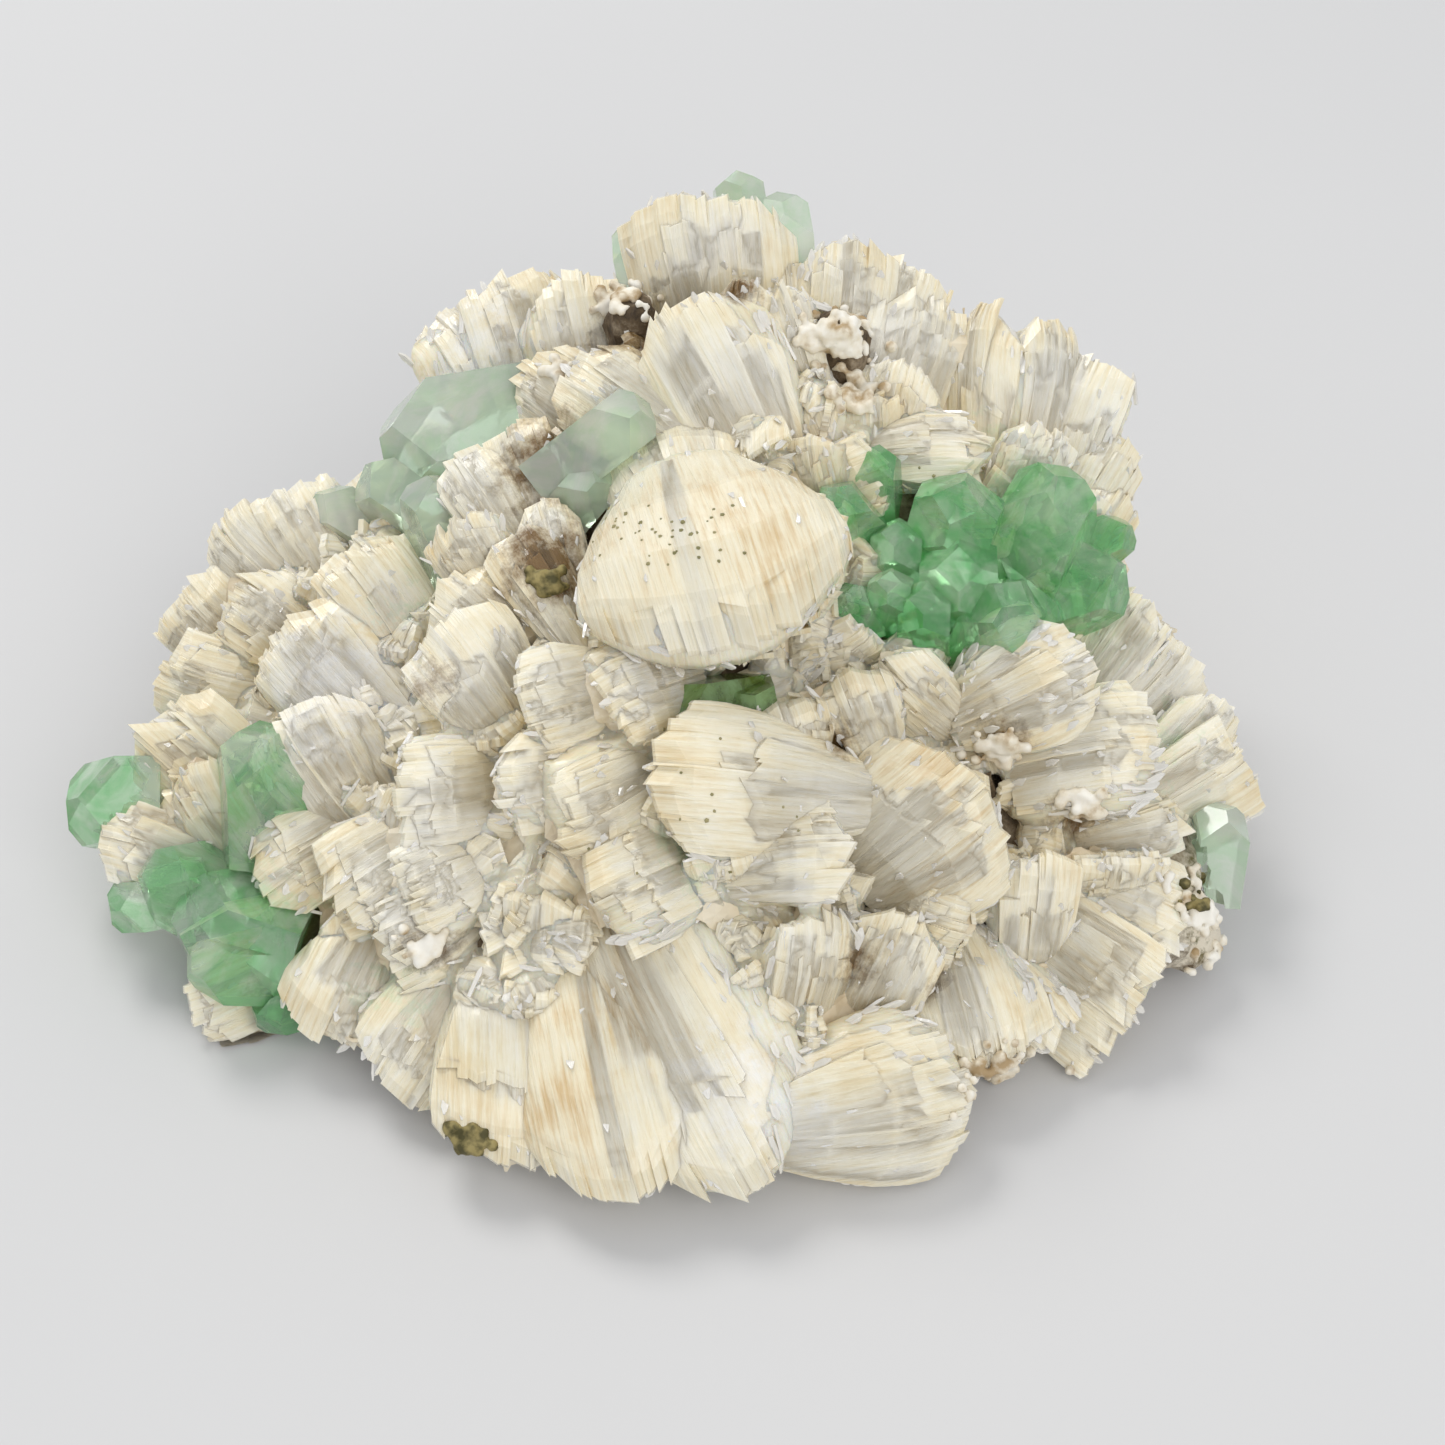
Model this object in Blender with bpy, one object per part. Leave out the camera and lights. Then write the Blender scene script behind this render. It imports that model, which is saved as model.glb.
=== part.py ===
"""Apophyllite with stilbite on basalt, a hand-sized mineral specimen at its real size.

A piece of grey basalt, cut off flat below, carries a crust of cream stilbite. Its flat laths fan out in
sheaves and bow-ties. Green apophyllite prisms grow between the sheaves. +X points to the right, +Y to the back
and +Z up.
Every length and place below is in millimetres.
"""

import math
import random
from collections import namedtuple

import bmesh
import bpy
from mathutils import Matrix, Vector, noise

MM = 0.001
GAP = 0.7  # between the pieces
ROCK_GAP = 0.9  # between the rock and the pieces on it
DRUSE_FACES = 4100  # once the slivers that its joins and cuts leave are merged
CENTRE = Vector((-0.5, 1.8, 0.0))  # brings the middle of the specimen over the origin

# The basalt
ROCK_RADII = [59, 60, 59, 54, 52, 54, 58, 59, 58, 58, 56, 50, 46, 46, 47, 49, 54, 65]  # every 20 degrees
ROCK_RIM_HEIGHT = 8  # where the rock is widest
ROCK_UNDERSIDE = 18  # how steeply it draws in below the rim
ROCK_EDGE_POWER = 8  # high for steep sides and a broad top
ROCK_ROUGHNESS = ((15, 2.4), (6, 0.9))  # how far apart its bumps are, and how high
ROCK_BASE_HEIGHT = 4
ROCK_SEGMENTS = 26
ROCK_RINGS = 11
Hill = namedtuple("Hill", "x y height radius")
HILLS = [
    Hill(8, 42, 30, 20),
    Hill(-22, 42, 18, 20),
    Hill(38, 34, 21, 20),
    Hill(-42, 18, 11, 18),
    Hill(2, 2, 24, 20),
    Hill(38, 4, 8, 18),
    Hill(-6, -26, 8, 18),
    Hill(-46, -12, 3, 16),
    Hill(60, -12, 3, 14),
]

# The lumpy white crust in the hollows and on the rock's bare corner
LUMP_SIZES = (0.7, 1.2)  # the smallest and the largest, as a share of the patch's size
PILLAR_WIDTHS = (1.3, 0.8)  # below and above, as a share of the patch's spread
PILLAR_DEPTH = 6  # how far the pillar that carries the lumps goes into the rock
PILLAR_SIDES = 6
Patch = namedtuple("Patch", "x y spread lumps size rise")
LUMP_PATCHES = [
    Patch(-4, 39, 3.5, 3, 2.3, 7),
    Patch(21, 36, 3.5, 4, 2.4, 6),
    Patch(-13, 20, 3.0, 2, 2.1, 4),
    Patch(38, -9, 2.0, 2, 1.7, 4),
    Patch(-27, -29, 2.5, 2, 1.8, 2),
    Patch(62, -18, 4.5, 6, 2.5, 0),
    Patch(61, -12, 3.0, 3, 2.5, 3),
    Patch(48, -11, 2.0, 2, 1.9, 3),
]

# Where the stilbite leaves the rock bare: place and size of each spot
CRUST_THICKNESS = 3.0
CRUST_BELOW = 3.0  # how far it draws back under the rock's surface where there is none
CRUST_EDGE = 3.0  # how far below the rim it starts to thin
BARE_DEPTH = 9.0
BARE_SPOTS = [
    ((67, -19, 7), 13),
    ((-34, 54, 28), 11),
    ((-22, -44, 3), 9),
    ((46, -38, 2), 8),
    ((-4, 39, 42), 6),
    ((21, 36, 40), 6),
    ((-13, 20, 36), 5),
    ((38, -9, 20), 5),
    ((-27, -29, 11), 5),
    ((30, 50, 6), 14),
    ((-10, 56, 6), 14),
    ((62, 22, 4), 12),
    ((-52, 34, 4), 14),
]

# Stilbite sheaves: the foot in the rock, the tip, and the width and thickness at the tip
Sheaf = namedtuple("Sheaf", "foot tip width thickness")
LATH_WIDTH = 4.2
DOME = 0.2  # how much shorter the outer laths are
TOOTH = 0.12  # how far a lath's point stands out, as a share of the sheaf's width
GROOVE = 0.22  # between laths, as a share of the thickness
TOOTH_SIZES = (0.6, 1)  # the smallest and the largest, as a share of that
CHISEL = 0.15  # how much shorter the lower side is
SHEAF_LEAN = 0.12  # how far a sheaf's end is skewed at most
EDGE_THINNING = 0.3
STRAIGHT = ((0, 0.5, 0.7), (1, 1, 0.75))  # along the sheaf: shares of its length, width and thickness
BELLIED = ((0, 0.4, 0.6), (0.6, 0.92, 1.15), (1, 1, 0.6))
BELLIED_FROM = 9  # thickness
FACING = Vector((0, -0.69, 0.72))  # the broad sides look up and forward

DRUSE = {
    "peak_block": Sheaf((6, 41, 41), (1, 50, 62), 12, 8),
    "peak_head": Sheaf((10, 40, 41), (8, 50, 62), 11, 8),
    "brown_column": Sheaf((10, 35, 46), (10, 38, 58), 7, 5),
    "upright_a": Sheaf((20, 29, 42), (14, 38, 58), 5, 3),
    "upright_b": Sheaf((23, 34, 40), (18, 39, 55), 4, 3),
    "upright_fan": Sheaf((21, 38, 40), (23, 47, 58), 11, 7),
    "side_fan": Sheaf((23, 37, 40), (30, 47, 54), 9, 6),
    "nested_plates": Sheaf((28, 33, 38), (33, 44, 51), 14, 6),
    "plate_stack": Sheaf((26, 27, 39), (28, 33, 50), 10, 5),
    "serrate_a": Sheaf((38, 28, 34), (39, 45, 49), 10, 7),
    "serrate_b": Sheaf((43, 28, 31), (47, 44, 48), 10, 7),
    "serrate_c": Sheaf((46, 28, 27), (53, 41, 44), 10, 7),
    "serrate_d": Sheaf((41, 23, 34), (46, 29, 43), 8, 5),
    "pale_shoulder": Sheaf((22, 25, 42), (38, 23, 45), 8, 7),
    "behind_green": Sheaf((48, 22, 24), (55, 29, 34), 8, 6),
    "behind_green_high": Sheaf((48, 26, 26), (56, 34, 38), 8, 6),
    "glint_blades": Sheaf((20, 17, 38), (17, 20, 49), 5, 4),
    "upper_knob": Sheaf((-7, 35, 36), (-12, 49, 51), 12, 8),
    "sugar_a": Sheaf((-14, 38, 32), (-20, 54, 47), 12, 9),
    "sugar_b": Sheaf((-19, 38, 30), (-28, 53, 42), 12, 9),
    "sugar_c": Sheaf((-5, 28, 42), (-17, 37, 46), 9, 6),
    "striped_a": Sheaf((-14, 9, 36), (-24, 24, 43), 8, 6),
    "striped_b": Sheaf((-11, 12, 38), (-18, 27, 45), 6, 5),
    "white_fan": Sheaf((-18, 7, 35), (-24, 12, 43), 8, 5),
    "stained_a": Sheaf((-8, -3, 34), (-17, 9, 43), 7, 6),
    "stained_b": Sheaf((-10, 2, 36), (-14, 15, 43), 6, 5),
    "cream_block_a": Sheaf((-42, 21, 19), (-56, 31, 27), 9, 7),
    "cream_block_b": Sheaf((-39, 21, 22), (-47, 32, 31), 9, 7),
    "tan_block_a": Sheaf((-49, 17, 12), (-61, 25, 20), 10, 8),
    "between_blocks": Sheaf((-42, 14, 17), (-54, 19, 25), 11, 8),
    "tan_block_b": Sheaf((-49, 11, 15), (-62, 12, 19), 9, 8),
    "sugar_left_a": Sheaf((-28, 6, 26), (-38, 17, 34), 10, 7),
    "sugar_left_b": Sheaf((-32, -3, 22), (-45, 9, 29), 12, 8),
    "sugar_left_c": Sheaf((-34, -12, 17), (-43, -3, 28), 12, 8),
    "sugar_left_d": Sheaf((-48, -2, 13), (-60, 4, 20), 8, 7),
    "pale_left_a": Sheaf((-49, -6, 9), (-62, 0, 21), 9, 7),
    "pale_left_b": Sheaf((-52, -12, 8), (-66, -11, 15), 9, 7),
    "pale_left_c": Sheaf((-49, -11, 9), (-56, -6, 21), 7, 6),
    "sheaf_mid_a": Sheaf((-16, -8, 28), (-25, -2, 40), 11, 8),
    "sheaf_mid_b": Sheaf((-15, 0, 32), (-25, 6, 39), 9, 7),
    "glass_flat": Sheaf((-4, -6, 35), (-15, -14, 39), 10, 5),
    "glint_sheaf": Sheaf((-7, -14, 29), (-18, -21, 33), 9, 6),
    "under_bow": Sheaf((4, -5, 35), (-6, -13, 39), 10, 7),
    "mid_front_a": Sheaf((1, -14, 28), (-11, -25, 30), 12, 8),
    "mid_left_a": Sheaf((-18, -12, 24), (-29, -19, 29), 11, 8),
    "mid_left_b": Sheaf((-20, -20, 20), (-28, -27, 21), 10, 7),
    "white_blades_l": Sheaf((-36, -12, 17), (-46, -20, 16), 9, 6),
    "white_blades_m": Sheaf((-27, -16, 20), (-37, -24, 19), 10, 7),
    "right_small": Sheaf((34, -3, 24), (25, -5, 37), 8, 7),
    "right_upright": Sheaf((25, -10, 25), (20, -8, 38), 8, 7),
    "clear_blades_a": Sheaf((49, 5, 20), (58, 15, 27), 8, 4),
    "clear_blades_b": Sheaf((52, 1, 17), (64, 13, 21), 9, 4),
    "clear_blades_c": Sheaf((55, -5, 12), (69, 6, 17), 9, 4),
    "clear_blades_d": Sheaf((55, -8, 11), (70, -1, 16), 10, 4),
    "right_slab": Sheaf((40, -6, 21), (58, -6, 25), 12, 8),
    "rosette": Sheaf((51, -15, 8), (52, -18, 18), 11, 5),
    "beige_shard": Sheaf((48, -12, 14), (61, -11, 17), 8, 5),
    "edge_plates_a": Sheaf((46, -16, 10), (60, -23, 9), 13, 6),
    "edge_plates_b": Sheaf((42, -21, 8), (54, -32, 6), 14, 6),
    "edge_plates_c": Sheaf((37, -25, 7), (43, -35, 4), 11, 5),
    "lying_round": Sheaf((6, -23, 23), (21, -25, 28), 9, 8),
    "fingers_a": Sheaf((14, -38, 7), (18, -30, 23), 9, 6),
    "fingers_b": Sheaf((21, -36, 7), (28, -28, 20), 9, 6),
    "bright_upright": Sheaf((42, -25, 5), (43, -20, 21), 8, 6),
    "pale_block": Sheaf((16, -13, 26), (14, -11, 37), 8, 7),
    "left_low_fan": Sheaf((-39, -19, 3), (-54, -29, 3), 13, 4),
    "pale_round": Sheaf((-32, -22, 12), (-38, -34, 5), 12, 8),
    "low_left_a": Sheaf((-21, -23, 16), (-31, -29, 15), 11, 8),
    "low_left_b": Sheaf((-20, -28, 11), (-29, -41, 4), 14, 8),
    "front_mid": Sheaf((4, -21, 22), (-7, -31, 26), 12, 8),
    "front_right_low": Sheaf((27, -21, 14), (34, -28, 17), 11, 8),
    "grey_sheaf": Sheaf((-16, -29, 13), (-15, -50, 4), 16, 9),
    "back_high": Sheaf((14, 38, 38), (13, 46, 55), 10, 6),
    "back_a": Sheaf((4, 44, 34), (4, 57, 42), 14, 7),
    "back_b": Sheaf((20, 42, 30), (24, 53, 37), 13, 7),
    "back_c": Sheaf((34, 36, 26), (42, 46, 33), 12, 7),
    "back_d": Sheaf((46, 28, 18), (56, 35, 24), 12, 7),
    "back_e": Sheaf((-12, 46, 28), (-14, 57, 34), 12, 7),
    "back_f": Sheaf((-37, 34, 14), (-46, 43, 18), 12, 7),
    "back_g": Sheaf((10, 46, 20), (14, 57, 24), 12, 6),
    "back_h": Sheaf((32, 40, 14), (38, 50, 17), 11, 6),
    "back_i": Sheaf((54, 16, 12), (64, 23, 15), 11, 6),
    "back_j": Sheaf((-50, 26, 12), (-60, 33, 14), 11, 6),
}

# The large sheaves that stand out as crystals of their own
BIG_SHEAVES = {
    "stilbite_bow_tie": [
        Sheaf((-1, 27, 40), (7, -10, 47), 29, 15),
        Sheaf((6, 12, 38), (21, 3, 44), 13, 9),
    ],
    "stilbite_peak_blade": [Sheaf((15, 19, 40), (3, 35, 58), 13, 8)],
    "stilbite_long_pale": [Sheaf((5, 21, 44), (-11, 31, 51), 10, 7)],
    "stilbite_right_bow": [Sheaf((33, -4, 26), (49, 0, 33), 13, 9)],
    "stilbite_lying_front": [Sheaf((24, -16, 26), (-1, -22, 36), 13, 9)],
    "stilbite_front_dome": [Sheaf((22, -20, 16), (36, -16, 29), 18, 11)],
    "stilbite_peach_fan": [
        Sheaf((-6, -24, 20), (11, -54, 5), 18, 10),
        Sheaf((-9, -28, 16), (-2, -55, 5), 17, 10),
    ],
    "stilbite_white_sheaf": [Sheaf((9, -47, 7), (34, -41, 8), 15, 11)],
    "stilbite_cream_sheaf": [Sheaf((33, -23, 11), (37, -39, 6), 14, 9)],
}

# Apophyllite prisms: foot, tip and width across the flats
Prism = namedtuple("Prism", "foot tip width")
PRISM_STEEPNESS = 1.15  # of the pyramid faces
PRISM_BLUNTNESS = 0.3  # the flat end, as a share of the width
PRISM_TURN = 0.5  # how far a prism is turned about its axis at most, in radians
SHORTEST_SIDE = 0.3  # where the pyramid faces start at the lowest, as a share of the length
APOPHYLLITE = {
    "apophyllite_right_cluster": [
        Prism((43, 14, 30), (47, 20, 44), 10),
        Prism((41, 11, 30), (55, 16, 31), 10),
        Prism((34, 17, 33), (34, 12, 46), 10),
        Prism((35, 12, 30), (34, 5, 42), 9),
        Prism((26, 15, 36), (19, 13, 46), 6),
        Prism((26, 17, 37), (25, 19, 48), 4.5),
        Prism((38, 5, 28), (40, 3, 40), 8),
        Prism((49, 20, 30), (57, 23, 32), 5),
        Prism((24, 3, 34), (21, 4, 40), 4),
        Prism((28, 12, 34), (27, 10, 43), 6),
        Prism((27, 6, 32), (26, 4, 41), 5),
        Prism((31, 6, 30), (30, 2, 40), 6),
    ],
    "apophyllite_far_left": [Prism((-60, -5, 13), (-71, -6, 14), 10)],
    "apophyllite_lower_left": [Prism((-56, -15, 8), (-65, -18, 9), 6)],
    "apophyllite_left_cluster": [
        Prism((-50, -18, 8), (-60, -16, 15), 8),
        Prism((-42, -23, 8), (-56, -20, 12), 11),
        Prism((-45, -25, 7.5), (-54, -27, 10.5), 7),
    ],
    "apophyllite_tall_left": [Prism((-47, -14, 9), (-46, -6, 27), 10)],
    "apophyllite_low_left": [Prism((-40, -27, 4), (-47, -30, 4.5), 5)],
    "apophyllite_upper_left": [
        Prism((-14, 36, 38), (-35, 33, 36), 12),
        Prism((-26, 23, 32), (-37, 31, 34), 8),
        Prism((-24, 14, 32), (-29, 23, 40), 7),
        Prism((-36, 27, 27), (-44, 30, 31), 6),
    ],
    "apophyllite_upper_middle": [
        Prism((-14, 20, 42), (-2, 22, 52), 7),
        Prism((-12, 18, 38), (-7, 17, 46), 6),
    ],
    "apophyllite_back_peak": [
        Prism((10, 54, 46), (9, 54, 62), 6),
        Prism((15, 49, 46), (14, 53, 60), 7),
    ],
    "apophyllite_back_small": [Prism((-2, 49, 46), (-4, 53, 56), 6)],
    "apophyllite_centre_pocket": [
        Prism((10, -6, 32), (1, -12, 36), 6),
        Prism((10, -5, 32), (11, -12, 35), 5),
    ],
    "apophyllite_right_edge": [Prism((65, -14, 6), (66, -8, 16), 6)],
}

BASALT = ("basalt", (0.23, 0.22, 0.2), 0.9)
STILBITE = ("stilbite", (0.8, 0.74, 0.62), 0.45)
GREEN_APOPHYLLITE = ("apophyllite", (0.3, 0.62, 0.42), 0.15)

TABLE_SIZE = (400, 400, 100)  # more than the specimen covers


def remove_startup_objects():
    for thing in list(bpy.data.objects):
        bpy.data.objects.remove(thing)


def new_collection(name):
    collection = bpy.data.collections.new(name)
    bpy.context.scene.collection.children.link(collection)
    return collection


def make_material(name, colour, roughness):
    material = bpy.data.materials.new(name)
    material.use_nodes = True
    shader = material.node_tree.nodes["Principled BSDF"]
    shader.inputs["Base Color"].default_value = (*colour, 1)
    shader.inputs["Roughness"].default_value = roughness
    shader.inputs["Metallic"].default_value = 0
    return material


def rock_radius(angle):
    """The rock's outline, read between the listed radii."""
    place = (angle / math.tau) % 1 * len(ROCK_RADII)
    first = int(place) % len(ROCK_RADII)
    second = (first + 1) % len(ROCK_RADII)
    blend = (1 - math.cos((place - int(place)) * math.pi)) / 2
    return ROCK_RADII[first] * (1 - blend) + ROCK_RADII[second] * blend


def rock_top(x, y):
    height = ROCK_BASE_HEIGHT
    for hill in HILLS:
        away = (x - hill.x) ** 2 + (y - hill.y) ** 2
        height += hill.height * math.exp(-away / (2 * hill.radius**2))
    return height


def rock_point(direction, grow):
    """The place on the rock that a point of a unit sphere stands for."""
    across = math.hypot(direction.x, direction.y)
    angle = math.atan2(direction.y, direction.x)
    reach = rock_radius(angle) * across
    x, y = reach * math.cos(angle), reach * math.sin(angle)
    if direction.z > 0:
        fall = math.sqrt(max(0, 1 - across**ROCK_EDGE_POWER))
        z = ROCK_RIM_HEIGHT + (rock_top(x, y) - ROCK_RIM_HEIGHT) * fall
    else:
        z = ROCK_RIM_HEIGHT + ROCK_UNDERSIDE * direction.z
    place = Vector((x, y, z))
    outward = Vector((direction.x, direction.y, max(direction.z, 0.1))).normalized()
    for spacing, height in ROCK_ROUGHNESS:
        place += outward * height * noise.noise(place / spacing)
    return place + outward * (grow(place) if callable(grow) else grow)


def add_rock(shape, grow):
    ball = bmesh.ops.create_uvsphere(shape, u_segments=ROCK_SEGMENTS, v_segments=ROCK_RINGS, radius=1)
    for vertex in ball["verts"]:
        vertex.co = rock_point(vertex.co.normalized(), grow)


def crust_growth(place):
    """How far the crust stands over the rock, less than nothing where the rock is bare."""
    growth = CRUST_THICKNESS
    for spot, radius in BARE_SPOTS:
        away = (place - Vector(spot)).length_squared
        growth -= BARE_DEPTH * math.exp(-away / radius**2)
    below_rim = max(0, ROCK_RIM_HEIGHT - CRUST_EDGE - place.z)
    return max(growth - below_rim, -CRUST_BELOW)


def add_lumps(shape, grow):
    """Balls of crust, crowded in each hollow."""
    for number, patch in enumerate(LUMP_PATCHES):
        draw = random.Random(number)
        for _ in range(patch.lumps):
            x = patch.x + draw.gauss(0, patch.spread / 2)
            y = patch.y + draw.gauss(0, patch.spread / 2)
            size = patch.size * draw.uniform(*LUMP_SIZES)
            z = rock_top(x, y) + patch.rise * draw.uniform(0.2, 1)
            turn = Matrix.Rotation(draw.uniform(0, math.tau), 4, "Z")
            place = Matrix.Translation((x, y, z)) @ turn
            bmesh.ops.create_icosphere(shape, subdivisions=1, radius=size + grow, matrix=place)
        middle = rock_top(patch.x, patch.y) + (patch.rise - PILLAR_DEPTH) / 2
        pillar = Matrix.Translation((patch.x, patch.y, middle))
        bmesh.ops.create_cone(
            shape,
            cap_ends=True,
            segments=PILLAR_SIDES,
            radius1=patch.spread * PILLAR_WIDTHS[0] + grow,
            radius2=patch.spread * PILLAR_WIDTHS[1] + grow,
            depth=patch.rise + PILLAR_DEPTH + 2 * grow,
            matrix=pillar,
        )


def add_rock_with_lumps(shape, grow=0):
    add_rock(shape, grow)
    add_lumps(shape, grow)


def add_sheaf(shape, sheaf, name, grow):
    """Laths side by side that fan out from the foot, with ridged broad sides and a toothed, domed end."""
    draw = random.Random(name)
    foot, tip = Vector(sheaf.foot), Vector(sheaf.tip)
    axis = (tip - foot).normalized()
    side = axis.cross(FACING).normalized()
    face = axis.cross(side)
    length = (tip - foot).length
    columns = 2 * max(2, round(sheaf.width / LATH_WIDTH)) + 1
    stations = BELLIED if sheaf.thickness >= BELLIED_FROM else STRAIGHT
    teeth = [draw.uniform(*TOOTH_SIZES) * TOOTH * sheaf.width * (column % 2) for column in range(columns)]
    lean = draw.uniform(-SHEAF_LEAN, SHEAF_LEAN)
    rings = []
    for along, wide, thick in stations:
        ring = []
        for through in (1, -1):
            row = range(columns) if through == 1 else range(columns - 1, -1, -1)
            for column in row:
                across = 2 * column / (columns - 1) - 1
                groove = 1 - GROOVE * (column % 2 == 0) * along
                fall = 1 - DOME * across**2 - (CHISEL if through == -1 else 0)
                reach = along * (length * fall + teeth[column] + lean * length * across)
                edge = 1 - EDGE_THINNING * across**2
                half_thick = sheaf.thickness / 2 * thick * groove * edge + grow
                place = foot + axis * (reach + (grow if along else -grow))
                place += side * across * (sheaf.width / 2 * wide + grow)
                place += face * through * half_thick
                ring.append(shape.verts.new(place))
        rings.append(ring)
    for lower, upper in zip(rings, rings[1:]):
        for here in range(len(lower)):
            after = (here + 1) % len(lower)
            shape.faces.new((lower[here], lower[after], upper[after], upper[here]))
    shape.faces.new(rings[0][::-1])
    end = rings[-1]
    for column in range(columns - 1):
        other = len(end) - 1 - column
        shape.faces.new((end[column], end[column + 1], end[other - 1], end[other]))


def add_prism(shape, prism, name, grow):
    """A square prism whose pyramid faces stand over its edges, with a small flat end."""
    draw = random.Random(name)
    foot, tip = Vector(prism.foot), Vector(prism.tip)
    axis = (tip - foot).normalized()
    side = axis.cross(FACING)
    side = side.normalized() if side.length > 0.2 else axis.cross(Vector((1, 0, 0))).normalized()
    side = Matrix.Rotation(draw.uniform(-PRISM_TURN, PRISM_TURN), 3, axis) @ side
    face = axis.cross(side)
    top = (tip - foot).length + grow
    flat = prism.width / 2 + grow
    corner = flat * math.sqrt(2)
    end = prism.width * PRISM_BLUNTNESS
    shoulder = top - (corner - end / math.sqrt(2)) * PRISM_STEEPNESS
    middle = shoulder + corner / 2 * PRISM_STEEPNESS
    points = []
    for quarter in range(4):
        for height, radius, eighth in (
            (-grow, corner, 0.5),
            (max(shoulder, top * SHORTEST_SIDE), corner, 0.5),
            (middle, flat, 0),
            (top, end, 0),
        ):
            angle = (quarter + eighth) * math.pi / 2
            around = side * math.cos(angle) + face * math.sin(angle)
            points.append(shape.verts.new(foot + axis * height + around * radius))
    bmesh.ops.convex_hull(shape, input=points)


def add_table(shape, height):
    """Everything below a height, for the flat cut."""
    place = Matrix.Translation((0, 0, height - TABLE_SIZE[2] / 2)) @ Matrix.Diagonal((*TABLE_SIZE, 1))
    bmesh.ops.create_cube(shape, size=1, matrix=place)


def new_object(name, collection, build):
    """An object whose mesh build() makes in millimetres."""
    shape = bmesh.new()
    build(shape)
    bmesh.ops.transform(shape, matrix=Matrix.Translation(-CENTRE), verts=shape.verts)
    bmesh.ops.scale(shape, vec=(MM, MM, MM), verts=shape.verts)
    bmesh.ops.recalc_face_normals(shape, faces=shape.faces)
    mesh = bpy.data.meshes.new(name)
    shape.to_mesh(mesh)
    shape.free()
    thing = bpy.data.objects.new(name, mesh)
    collection.objects.link(thing)
    return thing


def new_cutter(name, cutters, build):
    cutter = new_object(name, cutters, build)
    cutter.hide_render = True
    cutter.display_type = "WIRE"
    return cutter


def shells_of(shape):
    """The faces of each separate closed surface."""
    left = set(shape.faces)
    while left:
        waiting = [left.pop()]
        shell = []
        while waiting:
            face = waiting.pop()
            shell.append(face)
            for edge in face.edges:
                for other in edge.link_faces:
                    if other in left:
                        left.remove(other)
                        waiting.append(other)
        yield shell


def spread_of(shell):
    """The size of the box round a shell."""
    places = [vertex.co for face in shell for vertex in face.verts]
    return math.prod(max(place[i] for place in places) - min(place[i] for place in places) for i in range(3))


def keep_outer_shell(mesh):
    """Drops crumbs and the closed voids between crystals."""
    shape = bmesh.new()
    shape.from_mesh(mesh)
    shells = sorted(shells_of(shape), key=spread_of)
    spare = [face for shell in shells[:-1] for face in shell]
    bmesh.ops.delete(shape, geom=spare, context="FACES")
    bmesh.ops.triangulate(shape, faces=shape.faces)
    shape.to_mesh(mesh)
    shape.free()


def box_of(thing):
    places = [vertex.co for vertex in thing.data.vertices]
    return [(min(place[i] for place in places), max(place[i] for place in places)) for i in range(3)]


def meet(first, second):
    """Whether the boxes round two objects overlap."""
    return all(a[0] < b[1] and b[0] < a[1] for a, b in zip(box_of(first), box_of(second)))


def add_boolean(thing, operation, solver, operand):
    """Joins or cuts with an object or a collection. With neither, it joins the object's own shapes."""
    step = thing.modifiers.new(operation.lower(), "BOOLEAN")
    step.operation = operation
    step.solver = solver
    if isinstance(operand, bpy.types.Object):
        step.object = operand
    else:
        step.operand_type = "COLLECTION"
        step.collection = operand
        step.use_self = True


def apply_modifiers(thing):
    """Turns what the modifiers make into the object's mesh, as one closed shell."""
    bpy.context.view_layer.update()
    graph = bpy.context.evaluated_depsgraph_get()
    mesh = bpy.data.meshes.new_from_object(thing.evaluated_get(graph))
    keep_outer_shell(mesh)
    mesh.name = thing.name
    thing.modifiers.clear()
    thing.data = mesh


def merge_slivers(thing, faces):
    """Merges the smallest faces that a join leaves into those beside them."""
    merge = thing.modifiers.new("merged slivers", "DECIMATE")
    merge.ratio = faces / len(thing.data.polygons)
    apply_modifiers(thing)


def join_shapes(thing):
    """Makes one closed body of an object's overlapping shapes."""
    add_boolean(thing, "UNION", "EXACT", None)
    apply_modifiers(thing)


def cut_clear(thing, cutters):
    """Takes away what the cutters near the object hold."""
    near = bpy.data.collections.new("neighbours")
    for cutter in cutters.objects:
        if meet(cutter, thing):
            near.objects.link(cutter)
    if near.objects:
        add_boolean(thing, "DIFFERENCE", "EXACT", near)
        apply_modifiers(thing)
    bpy.data.collections.remove(near)


def grow_crystals(name, parts, cutters, material, build):
    """A crystal or a group that grew together, and the room that it takes from the pieces made after it."""
    piece = new_object(name, parts, lambda shape: build(shape, 0))
    piece.data.materials.append(material)
    join_shapes(piece)
    cut_clear(piece, cutters)
    room = new_cutter(name + " room", cutters, lambda shape: build(shape, GAP))
    join_shapes(room)


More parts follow.
